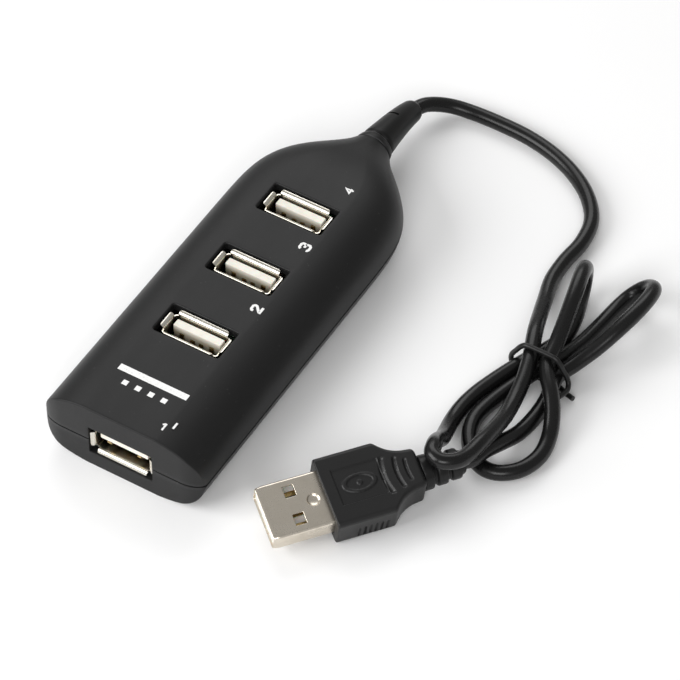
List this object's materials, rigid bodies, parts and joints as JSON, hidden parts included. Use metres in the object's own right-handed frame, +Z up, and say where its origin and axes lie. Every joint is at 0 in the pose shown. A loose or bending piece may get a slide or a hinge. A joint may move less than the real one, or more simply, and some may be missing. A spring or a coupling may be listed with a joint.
{
  "type": "usb hub",
  "caption": "Black moulded desktop USB hub with Type-A receptacles along its top and in its front end, and a captive lead folded and tied, ending in a Type-A plug.",
  "frame": {"origin": "centre of the case's footprint, on the surface it rests on", "axes": "+Y along the case towards the end where the lead leaves, +Z up, +X completes the right-handed frame; the front receptacle faces -Y and the others face +Z"},
  "size_m": [0.0901, 0.1257, 0.017],
  "materials": {
    "case_black": "black moulded ABS with a fine satin texture",
    "board_green": "green solder mask on glass-fibre laminate",
    "port_metal": "bright tin-plated sheet",
    "tongue_ivory": "ivory-white insulator",
    "contact_gold": "gold flash over copper alloy",
    "chip_black": "matte moulding compound",
    "tinned_legs": "tinned",
    "crystal_can": "pressed can",
    "capacitor_sleeve": "dark shrink sleeve",
    "ceramic_tan": "fired ceramic",
    "resistor_black": "glazed ceramic chip",
    "solder": "shiny fillets",
    "wire_red": "insulated wire",
    "wire_white": "insulated wire",
    "wire_green": "insulated wire",
    "wire_black": "insulated wire",
    "boot_black": "soft moulded PVC",
    "cord_black": "smooth PVC jacket with a soft gloss",
    "tie_black": "plastic-coated wire",
    "plug_metal": "nickel-plated steel sheet",
    "plug_white": "white insulator",
    "grip_black": "textured moulded PVC"
  },
  "bodies": {
    "root": {"top_shell": "case_black", "bottom_shell": "case_black", "circuit_board": "board_green", "port_1_shell": "port_metal", "port_1_insulator": "tongue_ivory", "port_1_contacts": "contact_gold", "port_2_shell": "port_metal", "port_2_insulator": "tongue_ivory", "port_2_contacts": "contact_gold", "port_3_shell": "port_metal", "port_3_insulator": "tongue_ivory", "port_3_contacts": "contact_gold", "port_4_shell": "port_metal", "port_4_insulator": "tongue_ivory", "port_4_contacts": "contact_gold", "hub_chip": "chip_black", "chip_leads": "tinned_legs", "crystal": "crystal_can", "bulk_capacitor": "capacitor_sleeve", "ceramic_capacitors": "ceramic_tan", "resistors": "resistor_black", "solder_joints": "solder", "power_lead_red": "wire_red", "data_lead_white": "wire_white", "data_lead_green": "wire_green", "ground_lead_black": "wire_black", "cable_boot": "boot_black", "cord": "cord_black", "twist_tie": "tie_black", "plug_shell": "plug_metal", "plug_insulator": "plug_white", "plug_contacts": "contact_gold", "plug_overmold": "grip_black", "plug_strain_relief": "boot_black"}
  },
  "joints": []
}
